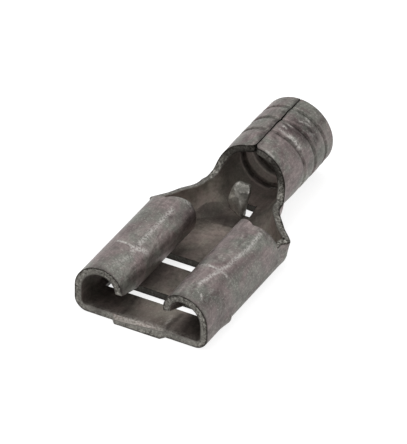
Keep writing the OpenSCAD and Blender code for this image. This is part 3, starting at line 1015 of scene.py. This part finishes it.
# on the outer skin: painted shade on the flanks that face away from above, stronger towards the right; dirt
# along the cut edges; a darker line just behind each groove
def outerDirtAndShade(point, up, cut):
    facing, across = rising(up, *gathering["facingUp"]), rising(point.x, *gathering["fromLeft"])
    level = max(gathering["flankShade"] * (1 - facing) * across,
                edgeDirt(point) * math.exp(-(cut / gathering["edge"][2]) ** 2))
    if point.y > strip["barrelStart"]:
        strength, behind, width = gathering["behindGroove"]
        angle = math.atan2(point.x, strip["barrelRadius"] - point.z)
        for groove in strip["grooves"]:
            past = point.y - groove - grooveDrift(angle * strip["barrelRadius"], groove)
            level = max(level, strength * math.exp(-((past - behind) / width) ** 2))
    return level


# painted shade in the barrel's bore and in each bite, and a painted highlight on each ridge, bite by bite
def barrelShadeAndHighlight(point):
    grimeAndShade, scuffAndHighlight = gathering["barrel"][1], 0
    strength, opening, closing = gathering["biteShade"]
    rub, place, width = gathering["ridge"]
    for groove in strip["grooves"]:
        past = point.y - groove
        dark = strength * rising(past, *opening) * (1 - rising(past, *closing))
        ridge = math.exp(-((past - place) / width) ** 2)
        grimeAndShade = mixed(max(grimeAndShade, dark), 0, ridge)
        scuffAndHighlight = max(scuffAndHighlight, rub * ridge)
    return grimeAndShade, scuffAndHighlight


# painted shade inside the socket and the waist: low on the floor towards the back, into the neck, and out to
# the sides near the mouth
def innerShade(point):
    low, upwards, backwards = gathering["floor"]
    neck, along = gathering["neck"]
    beside, outwards, behind = gathering["sides"]
    return max(low * (1 - rising(point.z, *upwards)) * rising(point.y, *backwards),
               neck * rising(point.y, *along),
               beside * rising(abs(point.x), *outwards) * (1 - rising(point.y, *behind)))


def markSurface(piece, plan):
    mesh = piece.data
    skins = [skinOf(mesh, kind) for kind in (0, 1, 2)]
    trees = []
    for skin in skins:
        tree = kdtree.KDTree(len(skin))
        for index in skin:
            tree.insert(mesh.vertices[index].co, index)
        tree.balance()
        trees.append(tree)
    for name in (*plan, "depth"):
        mesh.attributes.new(name, "FLOAT", "POINT")
    values = {name: mesh.attributes[name].data for name in (*plan, "depth")}
    punchedShade, shallower, deepening = gathering["punchedShade"]
    for vertex in mesh.vertices:
        index, point = vertex.index, stripPoint(vertex.co)
        outer, cut, inner = (tree.find(vertex.co)[2] / millimetre for tree in trees)
        depth = 0.5 if outer + inner == 0 else outer / (outer + inner)
        levels = {name: markLevel(point, lines) for name, lines in plan.items()}
        if index in skins[2]:
            if point.y > strip["barrelStart"] - gathering["barrel"][0]:
                levels["grimeAndShade"], scuffAndHighlight = barrelShadeAndHighlight(point)
                levels["scuffAndHighlight"] = max(levels["scuffAndHighlight"], scuffAndHighlight)
            else:
                levels["grimeAndShade"] = max(levels["grimeAndShade"], innerShade(point))
        elif index in skins[0]:
            levels["grimeAndShade"] = max(levels["grimeAndShade"], outerDirtAndShade(point, vertex.normal.z, cut))
        elif point.z < strip["sheet"] + gathering["punchedBelow"] and point.y > gathering["punchedFrom"]:
            levels["grimeAndShade"] = punchedShade * (1 - shallower * rising(depth, *deepening))
        for name, level in levels.items():
            values[name][index].value = level
        values["depth"][index].value = depth


markSurface(stripPiece, marks)
print("sheet thickness given:", len(stripPiece.data.polygons), "faces")

choose(stripPiece)
bpy.ops.object.shade_smooth_by_angle(angle=strip["smoothAngle"])

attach(stripPiece, "root")
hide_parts("terminal")

# at each height the back's place, then four front corners from left to right: across, along
tabStop = {
    "levels": (
        (0.2, 11.14, (-0.62, 11.1), (-0.42, 10.99), (0.08, 10.64), (0.04, 10.94)),
        (0.45, 11.18, (-0.8, 11.13), (-0.45, 10.99), (0.05, 10.69), (0.07, 10.97)),
        (0.85, 11.22, (-0.98, 11.18), (-0.66, 10.99), (-0.01, 10.76), (0.12, 11.0)),
        (1.15, 11.28, (-0.97, 11.2), (-0.82, 11.0), (-0.08, 10.81), (0.17, 11.02)),
        (1.45, 11.36, (-0.88, 11.24), (-0.46, 10.96), (-0.24, 10.9), (0.22, 11.06)),
        (1.75, 11.44, (-0.8, 11.3), (-0.62, 11.1), (-0.1, 11.03), (0.26, 11.13)),
        (1.98, 11.52, (-0.68, 11.38), (-0.58, 11.28), (-0.05, 11.22), (0.21, 11.3)),
        (2.08, 11.54, (-0.5, 11.42), (-0.45, 11.37), (-0.06, 11.34), (0.12, 11.38)),
    ),
    "edge": 0.035,
    "edgeSteps": 2,
    "sharpAngle": math.radians(10),
    "smoothAngle": math.radians(50),
    "finerSteps": 2,
}


def makeTabStop(plan):
    clearSelection()
    levels = plan["levels"]
    bpy.ops.mesh.primitive_cube_add(size=1.0, location=(0, 0, 0))
    piece = bpy.context.object
    piece.name = "tabStop"
    setMode("EDIT")
    columnsWide, rowsHigh = len(levels[0]) - 3, len(levels) - 1
    for count, axis in ((columnsWide, 0), (rowsHigh, 2)):
        for k in range(1, count):
            place, way = [0, 0, 0], [0, 0, 0]
            place[axis], way[axis] = k / count - 0.5, 1
            selectMesh("SELECT")
            bpy.ops.mesh.bisect(plane_co=place, plane_no=way)
    setMode("OBJECT")
    for vertex in piece.data.vertices:
        x, y, z = vertex.co
        level = levels[round((z + 0.5) * rowsHigh)]
        across, along = level[2 + round((x + 0.5) * columnsWide)]
        if y > 0:
            along = level[1]
        vertex.co = Vector((across, along + strip["frontPlace"], level[0])) * millimetre
    soft = piece.modifiers.new("handledEdges", "BEVEL")
    soft.limit_method, soft.angle_limit = "ANGLE", plan["sharpAngle"]
    soft.width, soft.segments = plan["edge"] * millimetre, plan["edgeSteps"]
    finer = piece.modifiers.new("finer", "SUBSURF")
    finer.subdivision_type, finer.levels = "SIMPLE", plan["finerSteps"]
    applyModifiers(piece)
    choose(piece)
    bpy.ops.object.shade_smooth_by_angle(angle=plan["smoothAngle"])
    piece.data.materials.append(tinnedFinish("litLancedSkin", litLancedPlan))
    for name, lines in stopMarks.items():
        values = piece.data.attributes.new(name, "FLOAT", "POINT").data
        for vertex in piece.data.vertices:
            values[vertex.index].value = markLevel(stripPoint(vertex.co), lines)
    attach(piece, "root")


# painted highlights and painted shade on the tab stop's facets, with one stain
stopMarks = {
    # painted highlights on the lit edges, ridge and head
    "scuffAndHighlight": (
        (((-0.43, 10.99, 0.45), (-0.55, 10.99, 0.65)), 0.1, 1.0),
        (((-0.55, 10.99, 0.65), (-0.7, 10.99, 0.95), (-0.83, 11.0, 1.15)), 0.045, 0.7),
        (((-0.01, 10.75, 0.8), (-0.08, 10.81, 1.1), (-0.16, 10.86, 1.3)), 0.07, 0.6),
        (((0.25, 11.12, 1.7), (0.22, 11.24, 1.92)), 0.05, 0.8),
        (((-0.62, 11.3, 1.93), (-0.48, 11.36, 2.06)), 0.07, 0.7),
        (((-0.42, 10.94, 1.47), (-0.56, 11.03, 1.62)), 0.05, 0.6),
    ),
    # painted shade in the dark stripes between facets
    "grimeAndShade": (
        (((0.06, 11.1, 1.2), (0.1, 11.1, 1.8)), 0.07, 0.6),
        (((-0.22, 10.88, 1.4), (-0.08, 11.0, 1.72)), 0.04, 0.6),
        (((-0.95, 11.1, 0.9), (-0.9, 11.2, 1.4)), 0.09, 0.4),
    ),
    "stain": (
        (((-0.3, 10.9, 0.7), (-0.4, 10.95, 1.0)), 0.15, 0.5),
    ),
    # painted light on the body, painted shade on the head
    "paintedLightShade": (
        (((-0.5, 10.95, 0.4), (-0.65, 10.97, 1.15)), 0.5, 1.3),
        (((-0.3, 11.1, 1.75), (-0.1, 11.2, 1.95)), 0.4, -0.28),
    ),
}

makeTabStop(tabStop)
print("tab stop raised")

studio = {
    "floorSize": 0.5,
    "floorColour": (0.35, 0.35, 0.35, 1),
    "floorRoughness": 0.9,
    "floorGlow": 0.78,
    "horizon": (0.6, 0.6, 0.6),
    "zenith": (1.0, 1.0, 1.0),
    "zenithHeight": 0.8,
    "lampPlace": (-0.06, -0.01, 0.17),
    "lampSize": 0.14,
    "lampPower": 0.12,
}


def makeStudio(plan):
    clearSelection()
    bpy.ops.mesh.primitive_plane_add(size=plan["floorSize"], location=(0, 0, cadBox[0][2]))
    bpy.ops.object.transform_apply(location=True, rotation=False, scale=False)
    floor = bpy.context.object
    floor.name = "studioFloor"
    paper = bpy.data.materials.new("palePaper")
    paper.use_nodes = True
    matte = paper.node_tree.nodes["Principled BSDF"]
    matte.inputs["Base Color"].default_value = plan["floorColour"]
    matte.inputs["Roughness"].default_value = plan["floorRoughness"]
    matte.inputs["Emission Color"].default_value = (1, 1, 1, 1)
    matte.inputs["Emission Strength"].default_value = plan["floorGlow"]
    floor.data.materials.append(paper)
    world = bpy.data.worlds.new("studioSky")
    bpy.context.scene.world = world
    world.use_nodes = True
    tree = world.node_tree
    height = addNode(tree, "ShaderNodeSeparateXYZ")
    tree.links.new(addNode(tree, "ShaderNodeTexCoord").outputs["Generated"], height.inputs[0])
    climb = ranged(tree, height.outputs["Z"], 0.0, plan["zenithHeight"], 0, 1)
    sky = blended(tree, climb, plan["horizon"], plan["zenith"])
    tree.links.new(sky, tree.nodes["Background"].inputs["Color"])
    data = bpy.data.lights.new("softTop", "AREA")
    data.size, data.energy = plan["lampSize"], plan["lampPower"]
    lamp = bpy.data.objects.new("softTop", data)
    bpy.context.scene.collection.objects.link(lamp)
    lamp.location = plan["lampPlace"]
    lamp.rotation_euler = (-lamp.location).to_track_quat("-Z", "Y").to_euler()


makeStudio(studio)
bpy.context.scene.view_settings.view_transform = "Standard"
print("studio lit")
